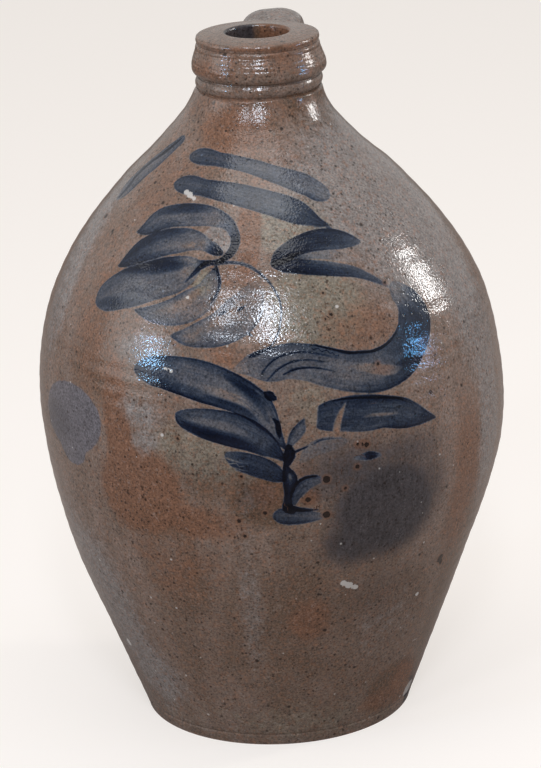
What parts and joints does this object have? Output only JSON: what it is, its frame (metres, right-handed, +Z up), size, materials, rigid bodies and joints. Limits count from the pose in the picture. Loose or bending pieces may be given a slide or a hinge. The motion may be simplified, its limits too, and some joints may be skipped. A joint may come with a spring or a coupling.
{
  "type": "stoneware jug",
  "caption": "Ovoid salt-glazed stoneware jug with a narrow collared mouth and one strap handle from collar to shoulder, for storing and pouring liquids.",
  "frame": {"origin": "centre of the flat base, on the surface the jug stands on", "axes": "+Z up along the throwing axis and out of the mouth, +Y towards the handle, -Y the brushed front"},
  "size_m": [0.2672, 0.2672, 0.4],
  "materials": {
    "body_glaze": "salt glaze over grey-brown stoneware, glossy with an orange-peel texture, iron specks and brushed cobalt",
    "collar_glaze": "glossy red-brown salt glaze",
    "handle_glaze": "salt glaze over grey-brown stoneware, satin on the crest"
  },
  "bodies": {
    "root": {"lower_body": "body_glaze", "upper_body": "body_glaze", "neck_bead": "collar_glaze", "neck_collar": "collar_glaze", "handle_root": "handle_glaze", "strap_handle": "handle_glaze", "handle_foot": "handle_glaze"}
  },
  "joints": []
}
